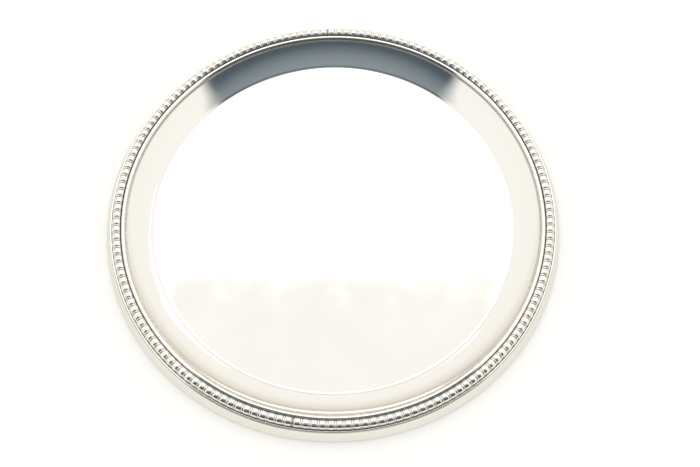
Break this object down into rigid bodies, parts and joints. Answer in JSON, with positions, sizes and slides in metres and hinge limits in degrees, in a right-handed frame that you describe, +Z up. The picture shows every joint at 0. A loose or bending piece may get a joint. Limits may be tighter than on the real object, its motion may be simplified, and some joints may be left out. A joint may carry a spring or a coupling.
{
  "type": "coin tray",
  "caption": "Round polished tray with a flat sunk floor, a hollow-curved wall, a pad-and-rib gadroon border between two beads, and a plain flaring apron below it.",
  "frame": {"origin": "centre of the floor's underside, which is the face the tray stands on", "axes": "+Z up along the tray's axis; -Y towards the side that the picture shows nearest, +X to its right"},
  "size_m": [0.2032, 0.2032, 0.009],
  "materials": {
    "silver_plate": "polished silver plate, lightly worn",
    "soft_solder": "dull grey soft solder"
  },
  "bodies": {
    "root": {"tray_pan": "silver_plate", "inner_bead": "silver_plate", "gadroon_strip_left": "silver_plate", "gadroon_strip_right": "silver_plate", "strip_filling": "soft_solder", "joint_solder": "soft_solder", "outer_bead": "silver_plate", "apron": "silver_plate", "apron_solder": "soft_solder"}
  },
  "joints": []
}
